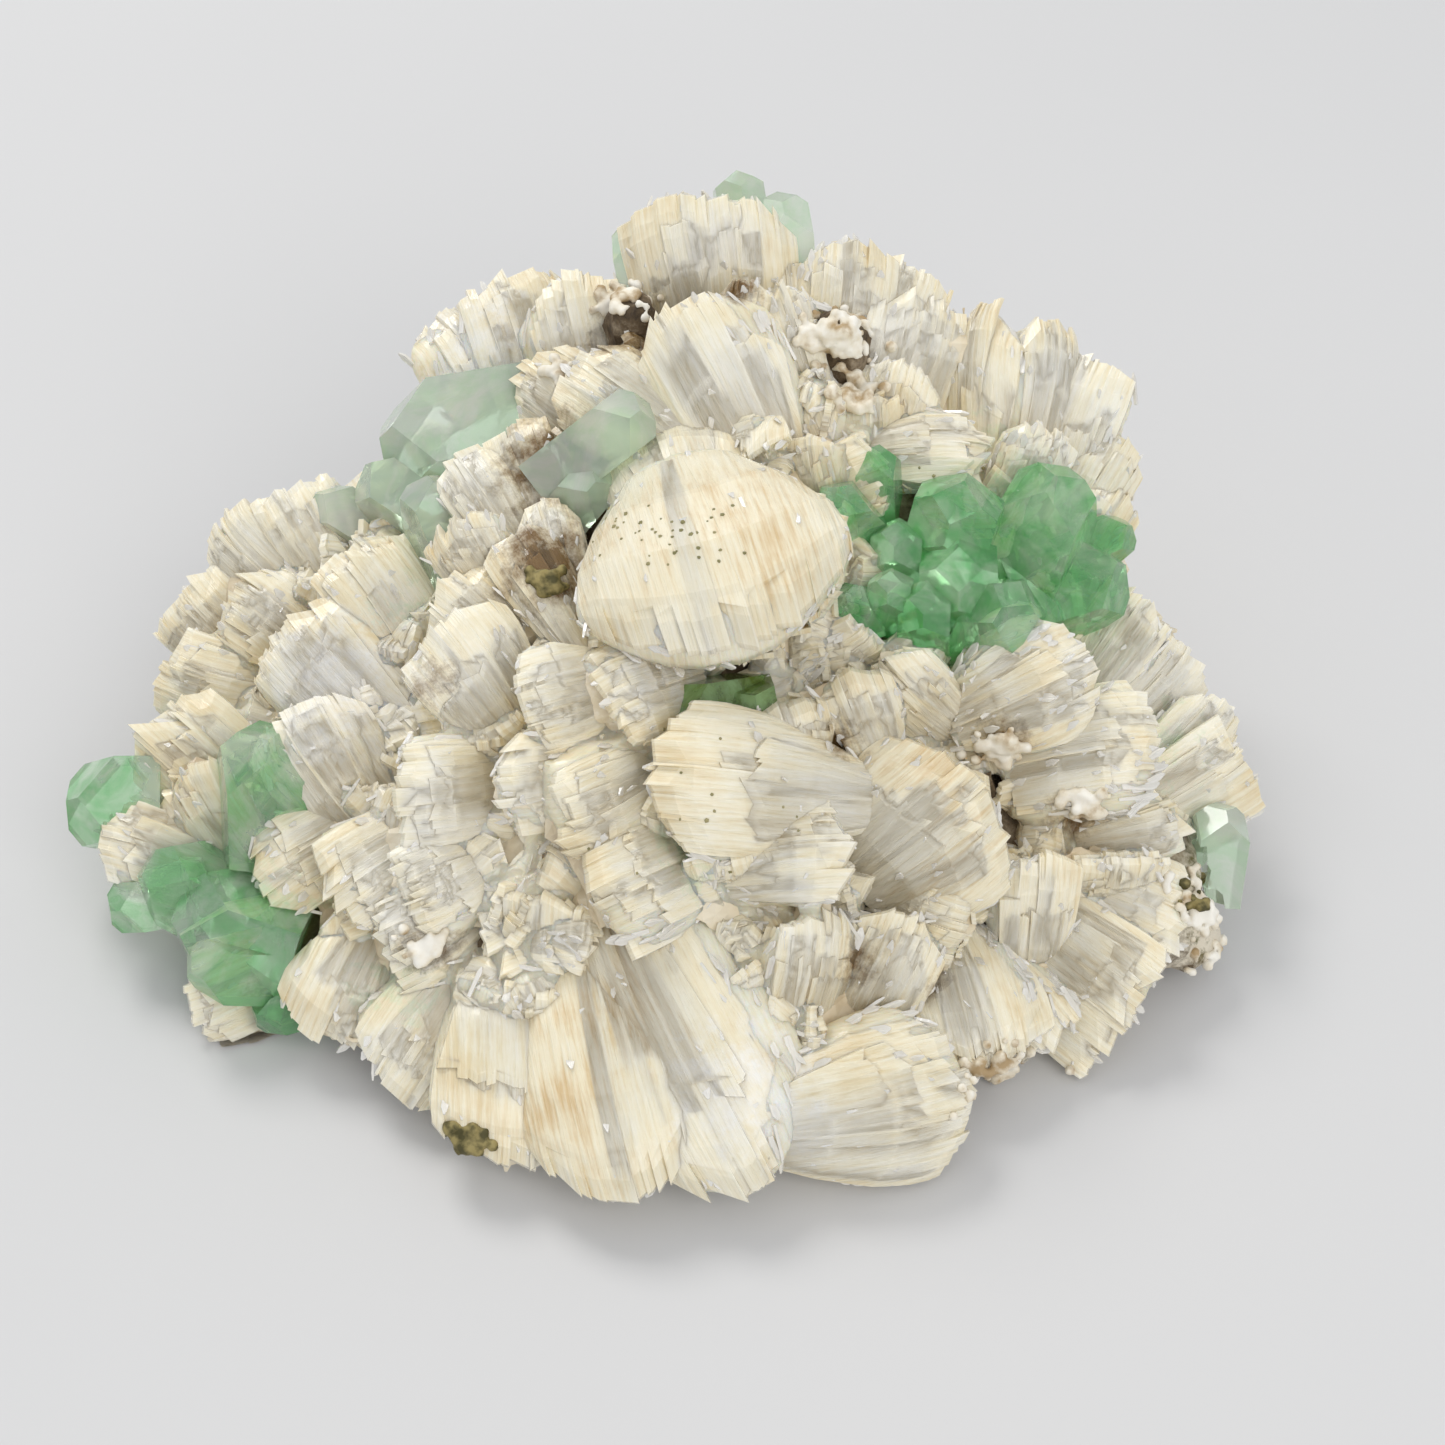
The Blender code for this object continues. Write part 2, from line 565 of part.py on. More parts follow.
def main():
    remove_startup_objects()
    parts = new_collection("apophyllite_with_stilbite")
    cutters = new_collection("cutters")
    basalt = make_material(*BASALT)
    stilbite = make_material(*STILBITE)
    green = make_material(*GREEN_APOPHYLLITE)

    table = new_cutter("table", cutters, lambda shape: add_table(shape, 0))
    rock = new_object("basalt_matrix", parts, add_rock_with_lumps)
    rock.data.materials.append(basalt)
    join_shapes(rock)
    cut_clear(rock, cutters)
    bpy.data.objects.remove(table)
    new_cutter("raised table", cutters, lambda shape: add_table(shape, GAP))
    join_shapes(new_cutter("rock room", cutters, lambda shape: add_rock_with_lumps(shape, ROCK_GAP)))

    for name, prisms in APOPHYLLITE.items():

        def add_prisms(shape, grow):
            for prism in prisms:
                add_prism(shape, prism, name, grow)

        grow_crystals(name, parts, cutters, green, add_prisms)

    for name, sheaves in BIG_SHEAVES.items():

        def add_sheaves(shape, grow):
            for sheaf in sheaves:
                add_sheaf(shape, sheaf, name, grow)

        grow_crystals(name, parts, cutters, stilbite, add_sheaves)

    # So many shapes cross here that the exact solver leaves edges with three faces.
    sheaves = new_collection("druse sheaves")
    druse = new_object("stilbite_druse", parts, lambda shape: add_rock(shape, crust_growth))
    druse.data.materials.append(stilbite)
    for name, sheaf in DRUSE.items():
        new_cutter(name, sheaves, lambda shape: add_sheaf(shape, sheaf, name, 0))
        add_boolean(druse, "UNION", "MANIFOLD", sheaves.objects[name])
    for cutter in cutters.objects:
        add_boolean(druse, "DIFFERENCE", "MANIFOLD", cutter)
    apply_modifiers(druse)
    merge_slivers(druse, DRUSE_FACES)


main()
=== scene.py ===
"""Apophyllite with stilbite on basalt: the looks of one mineral specimen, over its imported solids.

The specimen is built as it grew: the basalt first, then the crust, the stilbite and the green apophyllite.
Places and sizes are in millimetres, +X right, +Y back and +Z up, and become metres in each mesh.
"""

import math
import random

import bmesh
import bpy
import numpy as np
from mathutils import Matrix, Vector, kdtree, noise


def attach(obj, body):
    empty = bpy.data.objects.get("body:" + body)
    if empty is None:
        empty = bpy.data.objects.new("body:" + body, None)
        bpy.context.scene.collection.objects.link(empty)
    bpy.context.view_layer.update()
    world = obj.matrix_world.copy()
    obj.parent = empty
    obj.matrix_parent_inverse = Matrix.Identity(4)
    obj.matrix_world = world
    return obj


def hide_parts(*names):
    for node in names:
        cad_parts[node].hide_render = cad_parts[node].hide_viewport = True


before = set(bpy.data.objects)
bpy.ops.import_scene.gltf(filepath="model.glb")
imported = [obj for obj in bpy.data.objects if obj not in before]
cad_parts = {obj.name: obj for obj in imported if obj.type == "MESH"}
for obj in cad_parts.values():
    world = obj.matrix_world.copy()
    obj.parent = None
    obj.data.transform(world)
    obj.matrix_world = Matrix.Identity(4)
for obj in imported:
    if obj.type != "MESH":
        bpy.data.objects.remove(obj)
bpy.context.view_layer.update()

# The view. A specimen like this is photographed lying on a pale table, from the front and well above, in
# soft daylight from the upper left.
MM = 0.001
CENTRE = np.array((-0.5, 1.8, 0.0))  # the middle of the specimen's outline, which lies over the origin
CAMERA_AIM = (7, 0, 22)
CAMERA_HEIGHT_ANGLE = math.radians(46)
CAMERA_DISTANCE = 286
CAMERA_LENS = 60
SENSOR_WIDTH = 36
LIGHTS_AIM = (0, 0, 0.02)  # in metres, as the lights' places and sizes are
WINDOW = {"place": (-0.32, 0.5, 0.75), "size": 0.4, "watts": 3.9, "colour": (1, 0.985, 0.95)}
ROOM = {"place": (0.4, -0.75, 0.7), "size": 0.9, "watts": 4.6, "colour": (1, 0.975, 0.94)}
DAYLIGHT = (0.95, 0.97, 1, 1)
DAYLIGHT_STRENGTH = 0.66
TABLE_TOP = 2  # half of its width in metres


def to_world(place):
    """A place in millimetres, as the frame has it, in metres."""
    return Vector((np.array(place, float) - CENTRE) * MM)


camera = bpy.data.objects.new("camera", bpy.data.cameras.new("camera"))
bpy.context.scene.collection.objects.link(camera)
bpy.context.scene.camera = camera
camera.data.lens = CAMERA_LENS
camera.data.sensor_width = SENSOR_WIDTH
camera.data.clip_start = 0.01
away = Vector((0, -math.cos(CAMERA_HEIGHT_ANGLE), math.sin(CAMERA_HEIGHT_ANGLE)))
camera.location = to_world(CAMERA_AIM) + away * CAMERA_DISTANCE * MM
camera.rotation_euler = (math.pi / 2 - CAMERA_HEIGHT_ANGLE, 0, 0)


def add_softbox(name, place, size, watts, colour):
    """A round, soft light that faces the specimen."""
    light = bpy.data.lights.new(name, "AREA")
    light.shape = "DISK"
    light.size = size
    light.energy = watts
    light.color = colour
    lamp = bpy.data.objects.new(name, light)
    lamp.location = place
    lamp.rotation_euler = (Vector(LIGHTS_AIM) - Vector(place)).to_track_quat("-Z", "Y").to_euler()
    bpy.context.scene.collection.objects.link(lamp)


add_softbox("window", **WINDOW)
add_softbox("room", **ROOM)
world = bpy.data.worlds.new("daylight")
bpy.context.scene.world = world
world.use_nodes = True
world.node_tree.nodes["Background"].inputs["Color"].default_value = DAYLIGHT
world.node_tree.nodes["Background"].inputs["Strength"].default_value = DAYLIGHT_STRENGTH
bpy.context.scene.view_settings.view_transform = "Standard"

table = bmesh.new()
bmesh.ops.create_grid(table, x_segments=1, y_segments=1, size=TABLE_TOP)
table_mesh = bpy.data.meshes.new("table")
table.to_mesh(table_mesh)
table.free()
table_top = bpy.data.objects.new("table", table_mesh)
bpy.context.scene.collection.objects.link(table_top)


def new_material(name):
    """A material, its Principled shader, and functions that add a node and link two sockets."""
    material = bpy.data.materials.new(name)
    material.use_nodes = True
    tree = material.node_tree
    shader = tree.nodes["Principled BSDF"]

    def node(kind, **values):
        made = tree.nodes.new(kind)
        for key, value in values.items():
            if key in made.inputs:
                made.inputs[key].default_value = value
            else:
                setattr(made, key, value)
        return made

    return material, shader, node, tree.links.new


def colour_ramp(node, stops):
    """A ramp from a list of (place, colour)."""
    ramp = node("ShaderNodeValToRGB")
    elements = ramp.color_ramp.elements
    while len(elements) < len(stops):
        elements.new(0.5)
    for element, (place, colour) in zip(elements, stops):
        element.position = place
        element.color = (*colour, 1)
    return ramp


plaster, shader, node, link = new_material("pale_table")
spots = node("ShaderNodeTexNoise", Scale=6, Detail=6)
tone = colour_ramp(node, [(0.3, (0.6, 0.6, 0.605)), (0.7, (0.65, 0.65, 0.655))])
link(spots.outputs["Fac"], tone.inputs["Fac"])
link(tone.outputs["Color"], shader.inputs["Base Color"])
shader.inputs["Roughness"].default_value = 0.85
shader.inputs["Specular IOR Level"].default_value = 0.2
table_mesh.materials.append(plaster)

# The basalt. Dark grey, fine-grained volcanic rock with green clay in its pores, broken off round the
# specimen. It shows at the right corner, at the lower left edge and in the hollows, and is cut flat below.
ROCK_GRAIN = 1.3  # the size of the faces
ROCK_BUMPS = ((7, 0.9), (2.2, 0.6))  # how far apart, and how high
ROCK_INSET = 0.2  # so that the bumps stay near the solid
FLAT_CUT = 1.0  # below this height the rock stays as it was cut


def fine_copy(name, source, grain):
    """A copy of a solid's mesh with even faces of the given size, and normals that point out."""
    thing = bpy.data.objects.new(name, source.data.copy())
    bpy.context.scene.collection.objects.link(thing)
    remesh = thing.modifiers.new("even faces", "REMESH")
    remesh.mode = "VOXEL"
    remesh.voxel_size = grain * MM
    bpy.context.view_layer.update()
    made = thing.evaluated_get(bpy.context.evaluated_depsgraph_get())
    thing.data = bpy.data.meshes.new_from_object(made)
    thing.modifiers.clear()
    return thing


def roughen(thing, bumps, inset, keep_below):
    """Moves each point along its normal by noise, less an inset, and leaves the flat cut alone."""
    mesh = thing.data
    normals = [vertex.normal.copy() for vertex in mesh.vertices]
    for vertex, normal in zip(mesh.vertices, normals):
        height = vertex.co.z / MM
        if height < keep_below:
            continue
        move = -inset
        for spacing, size in bumps:
            move += size * noise.noise(vertex.co / (spacing * MM))
        vertex.co += normal * move * MM * min(1, (height - keep_below) / 2)


def finish_piece(thing, material, slot, *nodes):
    """Gives a piece its material and its place in the frame."""
    thing.data.materials.clear()
    thing.data.materials.append(material)
    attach(thing, "root")
    if nodes:
        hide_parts(*nodes)


# Where the druse and the rock are stained brown, where green shows through from below and where the laths
# are sugary white: the middle of each patch and how far it reaches.
BROWN = [
    ((-4, 36, 50), 9), ((21, 36, 48), 5), ((-13, 21, 43), 9), ((-13, 6, 42), 8), ((39, -9, 28), 4.5),
    ((48, -10, 19), 5.5), ((-26, -28, 16), 5), ((19, -12, 31), 4.5), ((38, -38, 3), 6), ((30, -31, 13), 3.5),
    ((22, -32, 17), 3.5), ((-25, -7, 36), 4), ((-21, -44, 3), 5), ((65, -16, 6), 8), ((9, 16, 38), 4),
    ((8, 37, 58), 4), ((-44, -24, 5), 6),
]
GREEN = [
    ((65, -16, 8), 10), ((-21, -44, 3), 6), ((38, 27, 34), 12), ((-32, 12, 26), 9), ((-46, -20, 12), 9),
    ((-28, -30, 8), 9), ((-20, 22, 36), 7), ((2, -22, 24), 8), ((60, 2, 14), 9),
]
WHITE = [
    ((-38, 0, 26), 13), ((-22, 46, 40), 12), ((-30, -14, 19), 9), ((9, -44, 9), 12), ((-2, -8, 36), 9),
    ((67, -18, 7), 14),
]


def note_marks(mesh):
    """Each point notes how brown, green and white it is, by its distance from the patches."""
    places = np.empty(len(mesh.vertices) * 3, np.float32)
    mesh.vertices.foreach_get("co", places)
    places = places.reshape(-1, 3) / MM + CENTRE
    marks = []
    for patches in (BROWN, GREEN, WHITE):
        nearness = [1 - np.linalg.norm(places - middle, axis=1) / reach for middle, reach in patches]
        marks.append(np.clip(np.max(nearness, axis=0), 0, 1))
    attribute = mesh.attributes.new("marks", "FLOAT_VECTOR", "POINT")
    attribute.data.foreach_set("vector", np.stack(marks, axis=1).astype(np.float32).ravel())


basalt, shader, node, link = new_material("basalt")
where = node("ShaderNodeTexCoord")
mottle = node("ShaderNodeTexNoise", Scale=300, Detail=8, Roughness=0.7)
STONE_TONES = [(0.32, (0.03, 0.02, 0.012)), (0.5, (0.13, 0.09, 0.05)), (0.7, (0.42, 0.35, 0.25))]
stone = colour_ramp(node, STONE_TONES)
marks = node("ShaderNodeAttribute", attribute_name="marks")
parts = node("ShaderNodeSeparateXYZ")
clay = node("ShaderNodeMath", operation="MULTIPLY_ADD", use_clamp=True)
clay.inputs[1].default_value = 3
clay.inputs[2].default_value = -0.5
mixed = node("ShaderNodeMix", data_type="RGBA")
mixed.inputs["B"].default_value = (0.13, 0.13, 0.025, 1)
link(where.outputs["Object"], mottle.inputs["Vector"])
link(mottle.outputs["Fac"], stone.inputs["Fac"])
link(marks.outputs["Vector"], parts.inputs["Vector"])
link(parts.outputs["Y"], clay.inputs[0])
link(clay.outputs[0], mixed.inputs["Factor"])
link(stone.outputs["Color"], mixed.inputs["A"])
chalk = node("ShaderNodeTexNoise", Scale=420, Detail=6, Roughness=0.7)
chalky = node("ShaderNodeMath", operation="MULTIPLY_ADD")
chalky.inputs[1].default_value = 12
chalky.inputs[2].default_value = -4.8
chalk_share = node("ShaderNodeMath", operation="MULTIPLY", use_clamp=True)
crusted = node("ShaderNodeMix", data_type="RGBA")
crusted.inputs["B"].default_value = (0.72, 0.66, 0.54, 1)
link(where.outputs["Object"], chalk.inputs["Vector"])
link(chalk.outputs["Fac"], chalky.inputs[0])
link(chalky.outputs[0], chalk_share.inputs[0])
link(parts.outputs["Z"], chalk_share.inputs[1])
link(chalk_share.outputs[0], crusted.inputs["Factor"])
link(mixed.outputs["Result"], crusted.inputs["A"])
link(crusted.outputs["Result"], shader.inputs["Base Color"])
shader.inputs["Roughness"].default_value = 0.9
grit = node("ShaderNodeBump", Strength=0.8, Distance=0.0008)
link(mottle.outputs["Fac"], grit.inputs["Height"])
link(grit.outputs["Normal"], shader.inputs["Normal"])

rock = fine_copy("basalt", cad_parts["basalt_matrix"], ROCK_GRAIN)
roughen(rock, ROCK_BUMPS, ROCK_INSET, FLAT_CUT)
note_marks(rock.data)
finish_piece(rock, basalt, "basalt", "basalt_matrix")

# The stilbite druse. Cream zeolite that grew on the rock in thin flat crystals. Laths side by side make a
# plate with a domed end of chisel points, and plates on each other make a sheaf. The sheaves fan out and
# grew into each other, so they are one waxy mass with the plates' edges as steps on it.
LIGHTWARD = np.array((0, -0.69, 0.72))  # the broad sides look up and forward
LATH = 1.1  # about how wide the laths are
LOWEST = 0.5  # no crystal reaches down to what the specimen lies on
DRUSE_GRAIN = 0.9  # the size of the faces
CRUST_GRAIN = 1.5
CRUST_BUMPS = ((5, 0.7), (1.6, 0.5))
CRUST_INSET = 0.5
LOOSE_BLADES = 1300  # tried in each place, of which those that face the light stay
BACK_BLADES = 300
FOOT_TO_END = (0, 0.35, 0.65, 0.85, 0.95, 1)
WIDE = (0.42, 0.74, 0.94, 1, 0.99, 0.97)  # shares of the width and the thickness at those places
THICK = (0.7, 0.95, 1, 0.88, 0.7, 0.4)
FULLER = 1.3  # the laths fan out past the middle of a sheaf, which is this much wider
FLATTER = 0.9
CRACK = 0.03  # half of the gap between two laths
LATH_STEP = 0.05  # how far a lath stands up or down
LATH_END = 0.2  # how far one lath ends past another
CHISEL = 0.35  # how slanted their ends are


def direction(vector):
    """The vector at a length of one."""
    return vector / np.linalg.norm(vector)


class Crystals:
    """Collects many crystals for one mesh, and which of them each point is on."""

    def __init__(self):
        self.points = []
        self.faces = []
        self.owners = []
        self.crystals = []
        self.count = 0

    def add_rings(self, rings, foot, axis, side, seed):
        """A crystal as closed rings of points from foot to end, joined by quads and closed at both ends."""
        number, corners = rings.shape[:2]
        self.points.append(rings.reshape(-1, 3))
        self.owners += [len(self.crystals)] * (number * corners)
        self.crystals.append(np.concatenate([foot, axis, side, [seed]]))
        here = np.arange(corners)
        after = (here + 1) % corners
        half = np.arange(corners // 2 - 1)
        other = corners - 1 - half
        for ring in range(number - 1):
            low = self.count + ring * corners
            high = low + corners
            self.faces.append(np.stack([low + here, low + after, high + after, high + here], 1))
        end = self.count + (number - 1) * corners
        self.faces.append(np.stack([end + half, end + half + 1, end + other - 1, end + other], 1))
        self.faces.append(self.faces[-1][:, ::-1] - end + self.count)
        self.count += number * corners

    def note_grain(self, mesh, owners):
        """Each point notes its place across and along its crystal, and the crystal's own number."""
        places = np.empty(len(mesh.vertices) * 3, np.float32)
        mesh.vertices.foreach_get("co", places)
        places = places.reshape(-1, 3) / MM + CENTRE
        owner = np.array(self.crystals)[owners]
        offset = places - owner[:, :3]
        across = (offset * owner[:, 6:9]).sum(1)
        along = (offset * owner[:, 3:6]).sum(1)
        grain = mesh.attributes.new("grain", "FLOAT_VECTOR", "POINT")
        values = np.stack([across, along, owner[:, 9]], axis=1).astype(np.float32)
        grain.data.foreach_set("vector", values.ravel())

    def to_object(self, name):
        """All the crystals as one mesh, in metres, which doesn't sink into the table."""
        mesh = bpy.data.meshes.new(name)
        places = (np.concatenate(self.points) - CENTRE) * MM
        places[:, 2] = np.maximum(places[:, 2], LOWEST * MM)
        mesh.from_pydata(places, [], np.concatenate(self.faces))
        thing = bpy.data.objects.new(name, mesh)
        bpy.context.scene.collection.objects.link(thing)
        return thing

    def grown_together(self, name, grain):
        """The crystals as one body, with a single smooth skin."""
        loose = self.to_object(name + "_loose")
        thing = fine_copy(name, loose, grain)
        nearest = kdtree.KDTree(self.count)
        for number, vertex in enumerate(loose.data.vertices):
            nearest.insert(vertex.co, number)
        nearest.balance()
        owners = np.array(self.owners)[[nearest.find(vertex.co)[1] for vertex in thing.data.vertices]]
        self.note_grain(thing.data, owners)
        note_marks(thing.data)
        thing.data.polygons.foreach_set("use_smooth", [True] * len(thing.data.polygons))
        bpy.data.objects.remove(loose)
        return thing


def body_height(across, along):
    """The height of a sheaf's body over its middle plane, as a share of half its thickness."""
    section = (1 - np.minimum(abs(across), 1) ** 2.3) ** 0.5
    return section * np.interp(along, FOOT_TO_END, THICK) ** 2


def share_of_width(along, flare):
    """How wide a sheaf is along its length: with no flare its sides are parallel."""
    return 1 - flare * (1 - np.interp(along, FOOT_TO_END, WIDE))


def add_body(bodies, stance, length, width, thickness, dome, flare, seed):
    """The rounded middle of a sheaf, with a domed, thinning end."""
    foot, axis, side, face = stance
    across = np.sin(np.linspace(-1, 1, 13) * math.pi / 2)
    along = np.linspace(0, 1, max(6, round(length / 1.5)))[:, None]
    forward = (along * length * (1 - dome * across**2))[..., None]
    sideways = (across * width / 2 * share_of_width(along, flare))[..., None]
    up = (thickness / 2 * np.maximum(body_height(across, along), 0.04))[..., None]
    middle = foot + forward * axis + sideways * side
    rings = np.concatenate([(middle + up * face)[:, ::-1], middle - up * face], axis=1)
    bodies.add_rings(rings, foot, axis, side, seed)


def add_plate(plates, stance, length, width, thickness, dome, flare, cover, reach, rise, draw):
    """A row of laths on a sheaf's body: each ends in its own chisel and stands a little up or down."""
    foot, axis, side, face = stance
    first, last = cover
    number = max(2, round((last - first) * width / 2 / LATH))
    cuts = np.sort([draw.uniform(first, last) for _ in range(number - 1)])
    edges = np.concatenate([[first], cuts[np.diff(cuts, prepend=first) > 0.6 / width], [last]])
    across, steps, ends = [], [], []
    for here, there in zip(edges, edges[1:]):
        across += [here + CRACK / width, there - CRACK / width]
        steps += [draw.uniform(-LATH_STEP, LATH_STEP)] * 2
        past = draw.gauss(0, LATH_END)
        slope = draw.uniform(-CHISEL, CHISEL) * (there - here) * width / 2
        ends += [past - slope, past + slope]
    across = np.array(across)
    rows = round(length / (0.9 if width > 20 else 2))
    along = np.concatenate([np.linspace(0.05, 0.93, max(4, rows)), [1]])[:, None] * reach
    forward = along * length * (1 - dome * across**2) + np.array(ends) * (along > 0.9 * reach)
    sideways = across * width / 2 * share_of_width(along, flare)
    body = thickness / 2 * body_height(across, along)
    edge = (along >= reach) * 0.25
    up = body + rise * (1 - edge) + np.array(steps)
    low = np.minimum(body - 0.7, up - 0.4)
    middle = foot + forward[..., None] * axis + sideways[..., None] * side
    upper = middle + up[..., None] * face
    lower = middle + low[..., None] * face
    rings = np.concatenate([upper[:, ::-1], lower], axis=1)
    plates.add_rings(rings, foot, axis, side, draw.random())


def grow_sheaf(group, name, foot, tip, width, thickness, dome, plates=5, roll=0.3, flare=1):
    """A rounded body with two plates over its front, one over its back and shorter ones on those."""
    draw = random.Random(name)
    foot, tip = np.array(foot, float), np.array(tip, float)
    length = np.linalg.norm(tip - foot)
    axis = (tip - foot) / length
    side = direction(np.cross(axis, LIGHTWARD))
    face = direction(np.cross(axis, side) + side * draw.gauss(0, roll))
    if face @ LIGHTWARD < 0:
        face = -face
    side = np.cross(face, axis)
    width *= FULLER
    thickness *= FLATTER
    add_body(group[0], (foot, axis, side, face), length - 0.3, width, thickness, dome, flare, draw.random())
    middle = draw.uniform(-0.3, 0.3)
    covers = [(-0.97, middle + 0.1, 1, 1), (middle - 0.1, 0.97, 1, 1), (-0.85, 0.85, 0.9, -1)]
    for _ in range(plates):
        middle, half = draw.uniform(-0.6, 0.6), draw.uniform(0.2, 0.6)
        covers.append((max(middle - half, -0.97), min(middle + half, 0.97), draw.uniform(0.55, 0.95), 1))
    for first, last, reach, over in covers:
        way = direction(axis + side * draw.gauss(0, 0.03) + face * draw.uniform(0, 0.04) * (1 - (over < 0)))
        stance = foot, way, side * over, face * over
        rise = draw.uniform(0.1, 0.25) + (1 - reach) * draw.uniform(0.2, 0.7)
        reach += draw.uniform(-0.2, 0.6) / length
        add_plate(group[1], stance, length, width, thickness, dome, flare, (first, last), reach, rise, draw)


def add_blade(crystals, foot, tip, face, width, thickness):
    """A thin lath with straight sides and a chisel end."""
    length = np.linalg.norm(tip - foot)
    axis = (tip - foot) / length
    side = direction(np.cross(face, axis))
    face = np.cross(axis, side)
    rings = []
    for place, corners in (
        (0, ((0.7, 1), (-0.7, 1), (-0.7, -1), (0.7, -1))),
        (0.82, ((1, 1), (-1, 1), (-1, -1), (1, -1))),
        (1, ((0.35, 0.5), (-0.15, 0.5), (-0.15, -0.5), (0.35, -0.5))),
    ):
        middle = foot + axis * length * place
        rings.append([middle + side * width * a / 2 + face * thickness * t / 2 for a, t in corners])
    crystals.add_rings(np.array(rings), foot, axis, side, 0.5)


def glinting_blades(thing, bodies, number, seed):
    """Loose laths that lie on a grown mass, half sunk, along the crystals below them, where the mass faces
    the light, to be the near-white painted glints.
    """
    draw = random.Random(seed)
    blades = Crystals()
    grain = thing.data.attributes["grain"].data
    owners = {round(float(crystal[9]), 5): crystal for crystal in bodies.crystals}
    for vertex in draw.sample(list(thing.data.vertices), number):
        crystal = owners.get(round(grain[vertex.index].vector[2], 5))
        normal = np.array(vertex.normal)
        if crystal is None or normal @ LIGHTWARD < -0.1:
            continue
        axis = crystal[3:6] - normal * (crystal[3:6] @ normal)
        if np.linalg.norm(axis) < 0.3:
            continue
        spread = np.array([draw.gauss(0, 0.2) for _ in range(3)])
        axis = direction(direction(axis) + normal * draw.uniform(0, 0.4) + spread)
        length = draw.uniform(2, 5)
        spot = np.array(vertex.co) / MM + CENTRE - normal * 0.12
        face = direction(normal + np.array([draw.gauss(0, 0.4) for _ in range(3)]))
        half = axis * length / 2
        add_blade(blades, spot - half, spot + half, face, draw.uniform(0.5, 1.1), 0.35)
    made = blades.to_object(thing.name + "_blades")
    blades.note_grain(made.data, np.array(blades.owners))
    return made


def finish_sheaves(name, group, grain, blades, tone, *nodes):
    """The grown bodies, their plates, of the given tone, and some loose laths become three pieces."""
    bodies, plates = group
    mass = bodies.grown_together(name, grain)
    finish_piece(mass, cream, "stilbite", *nodes)
    leaves = plates.to_object(name + "_plates")
    plates.note_grain(leaves.data, np.array(plates.owners))
    note_marks(leaves.data)
    finish_piece(leaves, tone, "stilbite")
    finish_piece(glinting_blades(mass, bodies, blades, name), glassy, "stilbite")


STRIPES = (2.2, 0.14, 90)  # how close across and along the laths, and how unlike from crystal to crystal
STRIPE_SHARE = 0.42
CLOUD_SHARE = 0.58
MARKS = (  # where each one's measure is, how sharply it starts, and its colour: white, green and brown
    ("Z", 1.2, (0.93, 0.9, 0.84)),
    ("Y", 1.0, (0.6, 0.74, 0.5)),
    ("X", 1.7, (0.2, 0.12, 0.045)),
)


